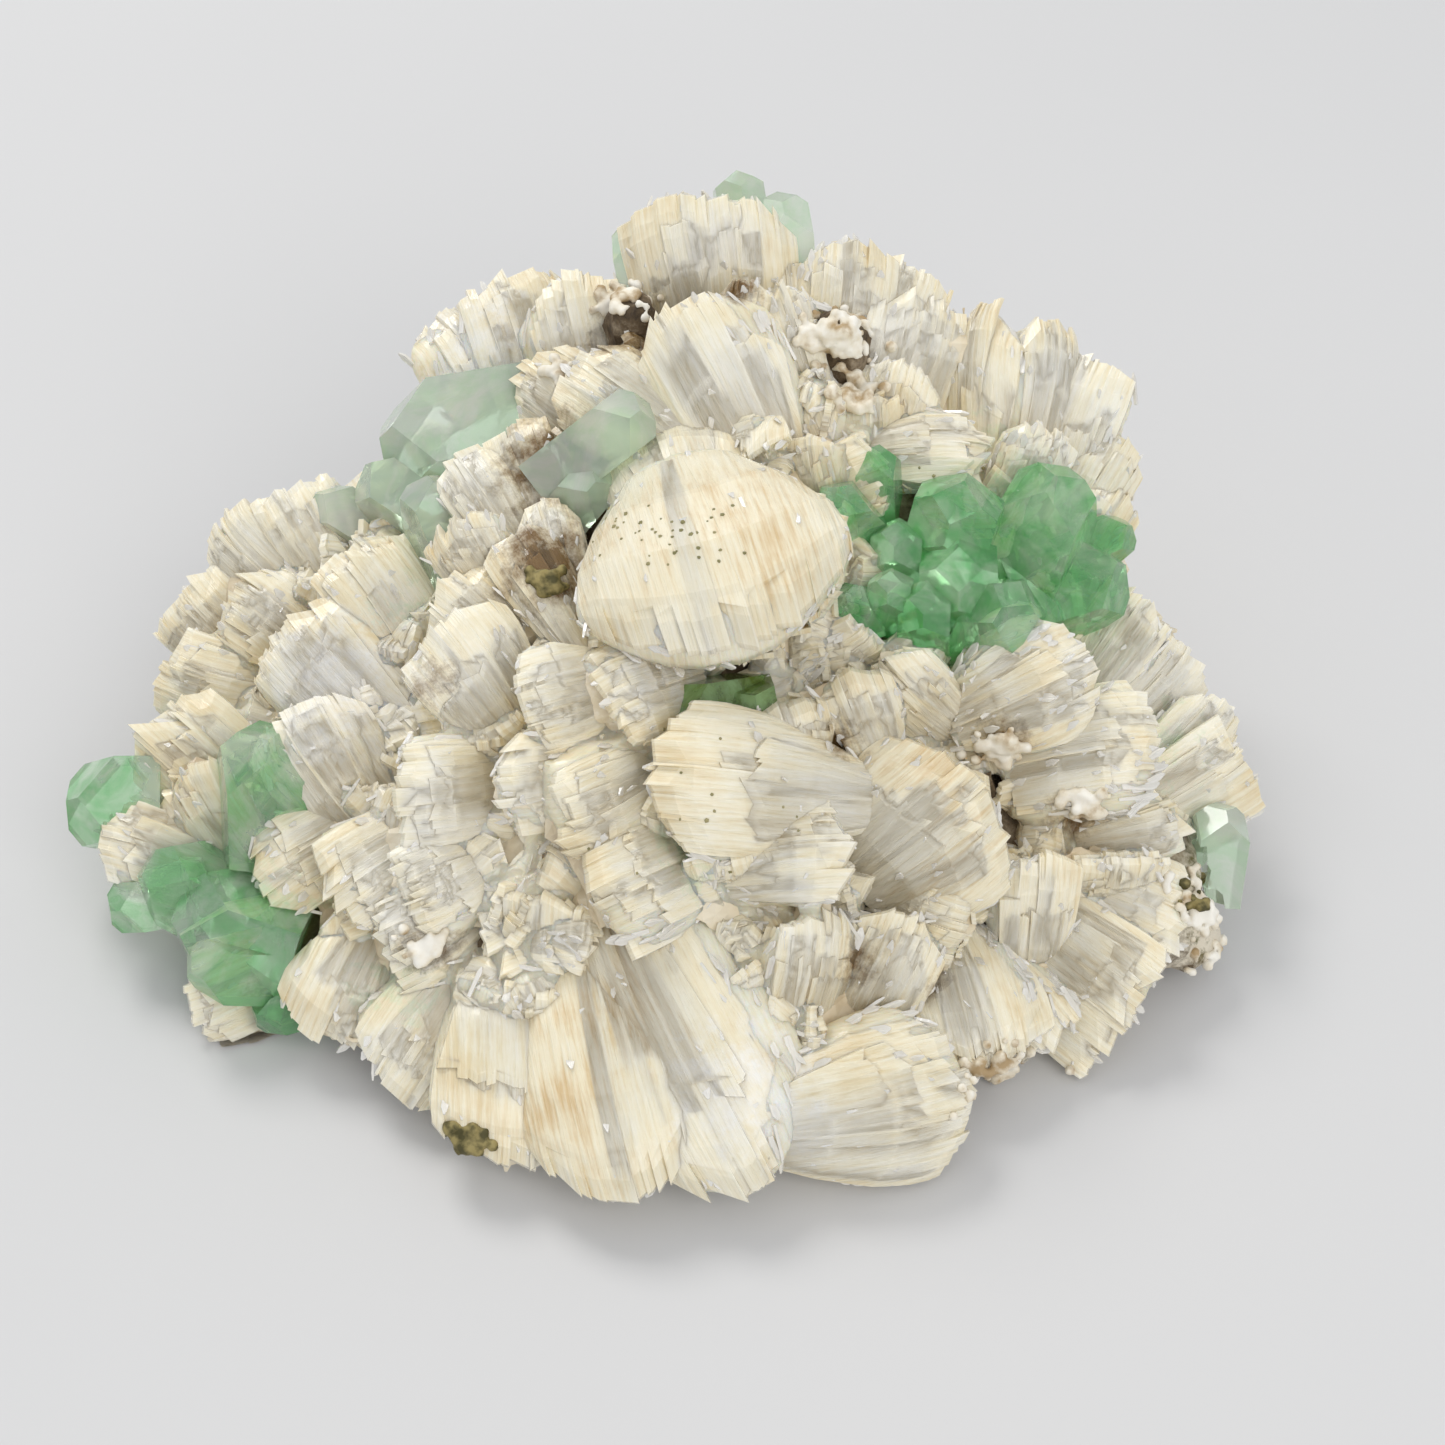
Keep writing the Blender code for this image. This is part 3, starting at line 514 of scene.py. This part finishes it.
def stilbite_material(name, dark, middle, light, roughness, waxy):
    """Pale on the ridges as painted light and darker and warmer in the grooves as painted shade, since the
    stripes that raise the ridges also set the tone; finely striped lengthwise, pearly, and marked in
    patches.
    """
    material, shader, node, link = new_material(name)
    grain = node("ShaderNodeAttribute", attribute_name="grain")
    stretch = node("ShaderNodeVectorMath", operation="MULTIPLY")
    stretch.inputs[1].default_value = STRIPES
    link(grain.outputs["Vector"], stretch.inputs[0])
    stripes = node("ShaderNodeTexNoise", Scale=1, Detail=5, Roughness=0.6)
    link(stretch.outputs["Vector"], stripes.inputs["Vector"])
    where = node("ShaderNodeTexCoord")
    clouds = node("ShaderNodeTexNoise", Scale=70, Detail=5, Roughness=0.6)
    link(where.outputs["Object"], clouds.inputs["Vector"])
    share = node("ShaderNodeMath", operation="MULTIPLY")
    share.inputs[1].default_value = CLOUD_SHARE
    link(clouds.outputs["Fac"], share.inputs[0])
    blend = node("ShaderNodeMath", operation="MULTIPLY_ADD")
    blend.inputs[1].default_value = STRIPE_SHARE
    link(stripes.outputs["Fac"], blend.inputs[0])
    link(share.outputs[0], blend.inputs[2])
    # The stripes that set the bump's ridges also lighten the tone: painted light on the ridges and painted
    # shade in the grooves, over the crystals' own clouded tone.
    tone = colour_ramp(node, [(0.38, dark), (0.5, middle), (0.62, light)])
    link(blend.outputs[0], tone.inputs["Fac"])
    marks = node("ShaderNodeAttribute", attribute_name="marks")
    parts = node("ShaderNodeSeparateXYZ")
    link(marks.outputs["Vector"], parts.inputs["Vector"])
    ragged = node("ShaderNodeTexNoise", Scale=420, Detail=5, Roughness=0.7)
    link(where.outputs["Object"], ragged.inputs["Vector"])
    shown = tone.outputs["Color"]
    for axis, steepness, colour in MARKS:
        edge = node("ShaderNodeMath", operation="MULTIPLY_ADD")
        edge.inputs[1].default_value = 3
        edge.inputs[2].default_value = -1.7
        link(ragged.outputs["Fac"], edge.inputs[0])
        reach = node("ShaderNodeMath", operation="MULTIPLY_ADD", use_clamp=True)
        reach.inputs[1].default_value = steepness
        link(parts.outputs[axis], reach.inputs[0])
        link(edge.outputs[0], reach.inputs[2])
        limit = node("ShaderNodeMath", operation="MULTIPLY")
        link(parts.outputs[axis], limit.inputs[0])
        limit.inputs[1].default_value = 8
        limit.use_clamp = True
        patch = node("ShaderNodeMath", operation="MULTIPLY")
        link(reach.outputs[0], patch.inputs[0])
        link(limit.outputs[0], patch.inputs[1])
        mixed = node("ShaderNodeMix", data_type="RGBA")
        mixed.inputs["B"].default_value = (*colour, 1)
        link(patch.outputs[0], mixed.inputs["Factor"])
        link(shown, mixed.inputs["A"])
        shown = mixed.outputs["Result"]
    link(shown, shader.inputs["Base Color"])
    shader.inputs["Roughness"].default_value = roughness
    shader.inputs["IOR"].default_value = 1.5
    shader.inputs["Subsurface Weight"].default_value = waxy
    shader.inputs["Coat Weight"].default_value = 0.35
    shader.inputs["Coat Roughness"].default_value = 0.1
    shader.inputs["Subsurface Radius"].default_value = (1, 0.8, 0.55)
    shader.inputs["Subsurface Scale"].default_value = 0.0025
    ridges = node("ShaderNodeBump", Strength=0.7, Distance=0.0005)
    link(stripes.outputs["Fac"], ridges.inputs["Height"])
    link(ridges.outputs["Normal"], shader.inputs["Normal"])
    return material


# Each tone: dark for painted shade in the grooves and the crystals' own darker clouds, light for painted
# light on the ridges and their paler clouds.
CREAM = (0.72, 0.61, 0.4), (0.85, 0.78, 0.59), (0.91, 0.87, 0.74)
PEARLY = (0.77, 0.64, 0.41), (0.89, 0.81, 0.62), (0.95, 0.9, 0.77)
PEACH = (0.7, 0.53, 0.3), (0.86, 0.77, 0.57), (0.92, 0.86, 0.7)
# The loose laths' near-white tone is partly clear stilbite and partly painted glint.
CLEAR_GLINT_WHITE = (0.86, 0.83, 0.75), (0.92, 0.9, 0.85), (0.96, 0.95, 0.92)
# The crust shows in the grooves and hollows between the sheaves: its darker, warmer tone is partly the
# crust's own colour and partly painted shade in those grooves.
CRUST_WITH_GROOVE_SHADE = (0.45, 0.33, 0.19), (0.72, 0.63, 0.46), (0.86, 0.81, 0.69)
cream = stilbite_material("cream_stilbite", *CREAM, 0.3, 0.8)
pearly = stilbite_material("pearly_stilbite", *PEARLY, 0.22, 0.5)
peach = stilbite_material("peach_stilbite", *PEACH, 0.22, 0.5)
for thin_plates in (pearly, peach):
    thin_shader = thin_plates.node_tree.nodes["Principled BSDF"]
    thin_shader.inputs["Subsurface Scale"].default_value = 0.001
    thin_shader.inputs["Subsurface Radius"].default_value = (1, 0.95, 0.88)
# The loose laths are glossy and a little see-through; their near-white tone is a painted glint over the
# clear stilbite.
glassy = stilbite_material("clear_stilbite", *CLEAR_GLINT_WHITE, 0.15, 0)
glassy.node_tree.nodes["Principled BSDF"].inputs["Transmission Weight"].default_value = 0.2
# The crust's tone carries painted shade for the grooves it fills.
crust_with_groove_shade = stilbite_material("stilbite_crust", *CRUST_WITH_GROOVE_SHADE, 0.6, 0)

crust = fine_copy("stilbite_crust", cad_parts["stilbite_druse"], CRUST_GRAIN)
roughen(crust, CRUST_BUMPS, CRUST_INSET, FLAT_CUT)
note_marks(crust.data)
finish_piece(crust, crust_with_groove_shade, "stilbite", "stilbite_druse")

SHEAVES = {
    "peak": {
        "peak_block": ((6, 41, 41), (1, 50, 62), 12, 8),
        "peak_head": ((10, 40, 41), (8, 50, 62), 11, 8),
        "brown_column": ((10, 35, 46), (10, 38, 58), 7, 5),
        "upright_a": ((20, 29, 42), (14, 38, 58), 5, 3),
        "upright_b": ((23, 34, 40), (18, 39, 55), 4, 3),
        "upright_fan": ((21, 38, 40), (23, 47, 58), 11, 7),
        "side_fan": ((23, 37, 40), (30, 47, 54), 9, 6),
        "nested_plates": ((28, 33, 38), (33, 44, 51), 14, 6),
        "plate_stack": ((26, 27, 39), (28, 33, 50), 10, 5),
        "serrate_a": ((38, 28, 34), (39, 45, 49), 10, 7),
        "serrate_b": ((43, 28, 31), (47, 44, 48), 10, 7),
        "serrate_c": ((46, 28, 27), (53, 41, 44), 10, 7),
        "serrate_d": ((41, 23, 34), (46, 29, 43), 8, 5),
        "pale_shoulder": ((22, 25, 42), (38, 23, 45), 8, 7),
        "behind_green": ((48, 22, 24), (55, 29, 34), 8, 6),
        "behind_green_high": ((48, 26, 26), (56, 34, 38), 8, 6),
        "glint_blades": ((20, 17, 38), (17, 20, 49), 5, 4),
    },
    "upper_left": {
        "upper_knob": ((-7, 35, 36), (-12, 49, 51), 12, 8),
        "sugar_a": ((-14, 38, 32), (-20, 54, 47), 12, 9),
        "sugar_b": ((-19, 38, 30), (-28, 53, 42), 12, 9),
        "sugar_c": ((-5, 28, 42), (-17, 37, 46), 9, 6),
        "striped_a": ((-14, 9, 36), (-24, 24, 43), 8, 6),
        "striped_b": ((-11, 12, 38), (-18, 27, 45), 6, 5),
        "white_fan": ((-18, 7, 35), (-24, 12, 43), 8, 5),
        "stained_a": ((-8, -3, 34), (-17, 9, 43), 7, 6),
        "stained_b": ((-10, 2, 36), (-14, 15, 43), 6, 5),
        "cream_block_a": ((-42, 21, 19), (-56, 31, 27), 9, 7),
        "cream_block_b": ((-39, 21, 22), (-47, 32, 31), 9, 7),
        "tan_block_a": ((-49, 17, 12), (-61, 25, 20), 10, 8),
        "between_blocks": ((-42, 14, 17), (-54, 19, 25), 11, 8),
        "tan_block_b": ((-49, 11, 15), (-62, 12, 19), 9, 8),
        "sugar_left_a": ((-28, 6, 26), (-38, 17, 34), 10, 7),
        "sugar_left_b": ((-32, -3, 22), (-45, 9, 29), 12, 8),
        "sugar_left_c": ((-34, -12, 17), (-43, -3, 28), 12, 8),
        "sugar_left_d": ((-48, -2, 13), (-60, 4, 20), 8, 7),
        "pale_left_a": ((-49, -6, 9), (-62, 0, 21), 9, 7),
        "pale_left_b": ((-52, -12, 8), (-66, -11, 15), 9, 7),
        "pale_left_c": ((-49, -11, 9), (-56, -6, 21), 7, 6),
    },
    "front": {
        "sheaf_mid_a": ((-16, -8, 28), (-25, -2, 40), 11, 8),
        "sheaf_mid_b": ((-15, 0, 32), (-25, 6, 39), 9, 7),
        "glass_flat": ((-4, -6, 35), (-15, -14, 39), 10, 5),
        "glint_sheaf": ((-7, -14, 29), (-18, -21, 33), 9, 6),
        "under_bow": ((4, -5, 35), (-6, -13, 39), 10, 7),
        "mid_front_a": ((1, -14, 28), (-11, -25, 30), 12, 8),
        "mid_left_a": ((-18, -12, 24), (-29, -19, 29), 11, 8),
        "mid_left_b": ((-20, -20, 20), (-28, -27, 21), 10, 7),
        "white_blades_l": ((-36, -12, 17), (-46, -20, 16), 9, 6),
        "white_blades_m": ((-27, -16, 20), (-37, -24, 19), 10, 7),
        "lying_round": ((6, -23, 23), (21, -25, 28), 9, 8),
        "fingers_a": ((14, -38, 7), (18, -30, 23), 9, 6),
        "fingers_b": ((21, -36, 7), (28, -28, 20), 9, 6),
        "bright_upright": ((42, -25, 5), (43, -20, 21), 8, 6),
        "pale_block": ((16, -13, 26), (14, -11, 37), 8, 7),
        "left_low_fan": ((-39, -19, 3), (-54, -29, 3), 13, 4),
        "pale_round": ((-32, -22, 12), (-38, -34, 5), 12, 8),
        "low_left_a": ((-21, -23, 16), (-31, -29, 15), 11, 8),
        "low_left_b": ((-20, -28, 11), (-29, -41, 4), 14, 8),
        "front_mid": ((4, -21, 22), (-7, -31, 26), 12, 8),
        "front_right_low": ((27, -21, 14), (34, -28, 17), 11, 8),
        "grey_sheaf": ((-16, -29, 13), (-15, -50, 4), 16, 9),
    },
    "right": {
        "right_small": ((34, -3, 24), (25, -5, 37), 8, 7),
        "right_upright": ((25, -10, 25), (20, -8, 38), 8, 7),
        "clear_blades_a": ((49, 5, 20), (58, 15, 27), 8, 4),
        "clear_blades_b": ((52, 1, 17), (64, 13, 21), 9, 4),
        "clear_blades_c": ((55, -5, 12), (69, 6, 17), 9, 4),
        "clear_blades_d": ((55, -8, 11), (70, -1, 16), 10, 4),
        "right_slab": ((40, -6, 21), (58, -6, 25), 12, 8),
        "rosette": ((51, -15, 8), (52, -18, 18), 11, 5),
        "beige_shard": ((48, -12, 14), (61, -11, 17), 8, 5),
        "edge_plates_a": ((46, -16, 10), (60, -23, 9), 13, 6),
        "edge_plates_b": ((42, -21, 8), (54, -32, 6), 14, 6),
        "edge_plates_c": ((37, -25, 7), (43, -35, 4), 11, 5),
    },
    "back": {
        "back_high": ((14, 38, 38), (13, 46, 55), 10, 6),
        "back_a": ((4, 44, 34), (4, 57, 42), 14, 7),
        "back_b": ((20, 42, 30), (24, 53, 37), 13, 7),
        "back_c": ((34, 36, 26), (42, 46, 33), 12, 7),
        "back_d": ((46, 28, 18), (56, 35, 24), 12, 7),
        "back_e": ((-12, 46, 28), (-14, 57, 34), 12, 7),
        "back_f": ((-37, 34, 14), (-46, 43, 18), 12, 7),
        "back_g": ((10, 46, 20), (14, 57, 24), 12, 6),
        "back_h": ((32, 40, 14), (38, 50, 17), 11, 6),
        "back_i": ((54, 16, 12), (64, 23, 15), 11, 6),
        "back_j": ((-50, 26, 12), (-60, 33, 14), 11, 6),
    },
}

# Between the named sheaves small ones stand on the crust. They are of the same cream zeolite, and grew
# together with those next to them.
SMALL_SPACING = 4.8
SMALL_WIDTHS = (5, 8)
SMALL_THICKNESSES = (3, 4.5)
DOMES = (0.04, 0.28)  # from blocks with flat ends to domed ones
FLARES = (0.2, 1.1)  # from nearly parallel sides to fans
large = [(place, *sheaf) for place, sheaves in SHEAVES.items() for sheaf in sheaves.values()]
large_feet = np.array([sheaf[1] for sheaf in large], float)
large_spans = np.array([sheaf[2] for sheaf in large], float) - large_feet
large_lengths = np.linalg.norm(large_spans, axis=1)
large_axes = large_spans / large_lengths[:, None]
large_sides = np.cross(large_axes, LIGHTWARD)
large_sides /= np.linalg.norm(large_sides, axis=1)[:, None]
large_faces = np.cross(large_axes, large_sides)
large_sizes = np.array([sheaf[3:] for sheaf in large], float)


def inside_a_sheaf(place):
    """Whether a named sheaf already fills this place."""
    offset = place - large_feet
    along = (offset * large_axes).sum(1)
    across = abs((offset * large_sides).sum(1))
    through = abs((offset * large_faces).sum(1))
    ahead = (along > 0.25 * large_lengths) & (along < large_lengths + 1)
    return (ahead & (across < large_sizes[:, 0] / 2) & (through < large_sizes[:, 1] / 2)).any()


groups = {place: (Crystals(), Crystals()) for place in SHEAVES}
for place, sheaves in SHEAVES.items():
    for name, (foot, tip, width, thickness) in sheaves.items():
        draw = random.Random(name + " shape")
        dome, flare = draw.uniform(*DOMES), draw.uniform(*FLARES)
        grow_sheaf(groups[place], name, foot, tip, width, thickness, dome, flare=flare)
draw = random.Random("small sheaves")
spots = [(np.array(v.co) / MM + CENTRE, np.array(v.normal)) for v in crust.data.vertices]
draw.shuffle(spots)
taken = set()
for spot, normal in spots:
    cell = tuple((spot // SMALL_SPACING).astype(int))
    if spot[2] < 2 or cell in taken:
        continue
    taken.add(cell)
    if inside_a_sheaf(spot):
        continue
    lean = np.array([draw.gauss(0, 0.45) for _ in range(3)])
    way = direction(normal * 0.9 + lean + (0, 0, 0.15))
    start, end = spot - way * 2.5, spot + way * draw.uniform(1.5, 4.5)
    nearest = np.linalg.norm(large_feet + large_spans / 2 - spot, axis=1).argmin()
    group = groups[large[nearest][0]]
    small_name = f"small {len(taken)}"
    dome, flare = draw.uniform(*DOMES), draw.uniform(*FLARES)
    width, thickness = draw.uniform(*SMALL_WIDTHS), draw.uniform(*SMALL_THICKNESSES)
    grow_sheaf(group, small_name, start, end, width, thickness, dome, 1, 0.7, flare)
for place, group in groups.items():
    blades = BACK_BLADES if place == "back" else LOOSE_BLADES
    finish_sheaves("stilbite_" + place, group, DRUSE_GRAIN, blades, pearly)

# The large sheaves. They are of the same cream zeolite and the same laths as the druse, and each grew out of
# it as a crystal group of its own. The bow-tie, the peach fan and the domed sheaf are warmer in tone.
LARGE_GRAIN = 0.7
LARGE_BLADES = 160
LARGE_SHEAVES = {
    "stilbite_bow_tie": [
        ((2, 15, 47.5), (9, -12.5, 45.5), 24.5, 17, 0.34, 0),
        ((4, 6, 45), (0, 26, 43), 14, 11, 0.15, 3),
        ((6, 12, 38), (21, 3, 44), 13, 9, 0.2, 4),
    ],
    "stilbite_peak_blade": [((15, 19, 40), (3, 35, 58), 13, 8, 0.2, 6)],
    "stilbite_long_pale": [((5, 21, 44), (-11, 31, 51), 10, 7, 0.2, 5)],
    "stilbite_right_bow": [((33, -4, 26), (49, 0, 33), 13, 9, 0.25, 5)],
    "stilbite_lying_front": [((24, -16, 26), (-1, -22, 36), 13, 9, 0.2, 6)],
    "stilbite_front_dome": [((22, -20, 16), (36, -16, 29), 18, 11, 0.3, 5)],
    "stilbite_peach_fan": [
        ((-6, -24, 20), (11, -54, 5), 18, 10, 0.28, 2),
        ((-9, -28, 16), (-2, -55, 5), 17, 10, 0.28, 2),
    ],
    "stilbite_white_sheaf": [((9, -47, 7), (34, -41, 8), 15, 11, 0.25, 5)],
    "stilbite_cream_sheaf": [((33, -23, 11), (37, -39, 6), 14, 9, 0.25, 4)],
}
PEACH_SHEAVES = ("stilbite_bow_tie", "stilbite_peach_fan", "stilbite_front_dome")
for node_name, sheaves in LARGE_SHEAVES.items():
    group = (Crystals(), Crystals())
    for number, (foot, tip, width, thickness, dome, plates) in enumerate(sheaves):
        grow_sheaf(group, f"{node_name} {number}", foot, tip, width, thickness, dome, plates, 0.05)
    tone = peach if node_name in PEACH_SHEAVES else pearly
    finish_sheaves(node_name + "_laths", group, LARGE_GRAIN, LARGE_BLADES, tone, node_name)

# The crumbs in the hollows. Tiny white and tan zeolite balls, which grew in heaps on the bare rock between
# the sheaves, most of all at the right corner.
CRUMBS = [  # the middle of each heap, how far it reaches and how many balls it has
    ((-5, 43, 52), 3.5, 60), ((21, 36, 51), 4.5, 110), ((22, 31, 46), 3, 70), ((-13, 21, 42), 3, 25),
    ((39, -9, 27), 3, 60), ((48, -10, 19), 3, 30), ((-26, -28, 15), 3, 26), ((65, -16, 9), 5, 170),
    ((66, -23, 4), 4, 60), ((38, -37, 4), 5, 70), ((-12, 35, 46), 2.5, 25),
]
CRUMB_SIZES = (0.4, 0.9)
CRUMB_GRAIN = 0.3


def speckled_material(name, stops, scale):
    """Dull, and dusted with two or three tones."""
    material, shader, node, link = new_material(name)
    where = node("ShaderNodeTexCoord")
    dust = node("ShaderNodeTexNoise", Scale=scale, Detail=5)
    link(where.outputs["Object"], dust.inputs["Vector"])
    tone = colour_ramp(node, stops)
    link(dust.outputs["Fac"], tone.inputs["Fac"])
    link(tone.outputs["Color"], shader.inputs["Base Color"])
    shader.inputs["Roughness"].default_value = 0.7
    return material


def strewn(name, patches, sizes, height, carriers):
    """Balls that lie where light from above the front first meets the named pieces."""
    draw = random.Random(name)
    bpy.context.view_layer.update()
    seen = bpy.context.evaluated_depsgraph_get()
    heap = bmesh.new()
    for middle, reach, number in patches:
        for _ in range(number):
            spot = np.array(middle) + [draw.gauss(0, reach / 2), draw.gauss(0, reach / 2), 0]
            start = to_world(spot + LIGHTWARD * 25)
            hit = bpy.context.scene.ray_cast(seen, start, -Vector(LIGHTWARD))
            found, place, normal, _, thing, _ = hit
            if not found or not thing.name.startswith(carriers) or place.z < MM:
                continue
            if np.linalg.norm(np.array(place) / MM + CENTRE - spot) > reach + 4:
                continue
            size = draw.uniform(*sizes)
            ball = bmesh.ops.create_icosphere(heap, subdivisions=1, radius=size * MM)["verts"]
            for vertex in ball:
                vertex.co = vertex.co * draw.uniform(0.85, 1.15) + place + normal * height * size * MM
    mesh = bpy.data.meshes.new(name)
    heap.to_mesh(mesh)
    heap.free()
    loose = bpy.data.objects.new(name + "_loose", mesh)
    bpy.context.scene.collection.objects.link(loose)
    return loose


loose = strewn("crumbs", CRUMBS, CRUMB_SIZES, 0.3, ("basalt", "stilbite"))
crumbs = fine_copy("crumbs", loose, CRUMB_GRAIN)
crumbs.data.polygons.foreach_set("use_smooth", [True] * len(crumbs.data.polygons))
bpy.data.objects.remove(loose)
WHITE_TO_TAN = [(0.36, (0.42, 0.3, 0.16)), (0.47, (0.78, 0.71, 0.57)), (0.6, (0.9, 0.87, 0.79))]
finish_piece(crumbs, speckled_material("white_crumbs", WHITE_TO_TAN, 330), "basalt")

# Green clay. Flecks of it were caught in the bow-tie while it grew and lie thinly over the sheaves near it,
# and small crusts of it grew at the right corner, at the lower left edge and in two hollows.
FLECKS = [((2, -2, 54), 6, 34), ((-5, 2, 51), 4, 10), ((8, -22, 34), 16, 14), ((30, 10, 44), 14, 10)]
CLAY = [
    ((-21, -46, 4), 3, 50), ((64, -15, 9), 3.5, 22), ((68, -19, 6), 2, 12), ((-4, 35, 48), 2.5, 30),
    ((-13, 4, 41), 2.5, 25),
]
OLIVE = [(0.4, (0.07, 0.06, 0.015)), (0.6, (0.32, 0.26, 0.1))]
SUNKEN_OLIVE = [(0.4, (0.2, 0.19, 0.08)), (0.6, (0.36, 0.32, 0.16))]
flecks = strewn("flecks", FLECKS, (0.16, 0.36), -0.4, ("stilbite",))
finish_piece(flecks, speckled_material("sunken_olive", SUNKEN_OLIVE, 200), "basalt")
loose = strewn("clay_crust", CLAY, (0.4, 1), 0.1, ("basalt", "stilbite", "crumbs"))
clay_crust = fine_copy("clay_crust", loose, CRUMB_GRAIN)
clay_crust.data.polygons.foreach_set("use_smooth", [True] * len(clay_crust.data.polygons))
bpy.data.objects.remove(loose)
finish_piece(clay_crust, speckled_material("olive_clay", OLIVE, 700), "basalt")

# The green apophyllite. Clear to cloudy square prisms with pyramid faces and a small flat end, which
# grew last, in groups between the sheaves. White veils run through them.
def apophyllite_material(name, deep, pale, clear, absorption):
    """Clear and glassy, deep green with pale veils, and a little etched."""
    material, shader, node, link = new_material(name)
    where = node("ShaderNodeTexCoord")
    veils = node("ShaderNodeTexNoise", Scale=130, Detail=6, Roughness=0.65, Distortion=0.8)
    link(where.outputs["Object"], veils.inputs["Vector"])
    tone = colour_ramp(node, [(0.42, deep), (0.6, pale)])
    link(veils.outputs["Fac"], tone.inputs["Fac"])
    link(tone.outputs["Color"], shader.inputs["Base Color"])
    shader.inputs["Transmission Weight"].default_value = clear
    shader.inputs["Roughness"].default_value = 0.05
    shader.inputs["IOR"].default_value = 1.535
    etch = node("ShaderNodeBump", Strength=0.15, Distance=0.0003)
    link(veils.outputs["Fac"], etch.inputs["Height"])
    link(etch.outputs["Normal"], shader.inputs["Normal"])
    tint = node("ShaderNodeVolumeAbsorption", Color=(0.35, 0.85, 0.4, 1), Density=absorption)
    link(tint.outputs["Volume"], material.node_tree.nodes["Material Output"].inputs["Volume"])
    return material


green = apophyllite_material("green_apophyllite", (0.26, 0.74, 0.3), (0.72, 0.97, 0.7), 0.72, 9)
soft_green = apophyllite_material("soft_green_apophyllite", (0.38, 0.78, 0.4), (0.82, 0.97, 0.8), 0.72, 6)
olive_green = apophyllite_material("olive_apophyllite", (0.15, 0.24, 0.03), (0.45, 0.72, 0.3), 0.6, 25)
pale_green = apophyllite_material("pale_apophyllite", (0.78, 0.97, 0.76), (0.95, 1, 0.92), 0.66, 4)
GREENS = {
    "apophyllite_right_cluster": green,
    "apophyllite_centre_pocket": olive_green,
    "apophyllite_left_cluster": soft_green,
    "apophyllite_far_left": soft_green,
    "apophyllite_lower_left": soft_green,
    "apophyllite_tall_left": soft_green,
    "apophyllite_low_left": soft_green,
}
for name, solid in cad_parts.items():
    if name.startswith("apophyllite"):
        solid.data.materials.clear()
        solid.data.materials.append(GREENS.get(name, pale_green))
        edges = solid.modifiers.new("worn edges", "BEVEL")
        edges.width = 0.12 * MM
        edges.limit_method = "ANGLE"
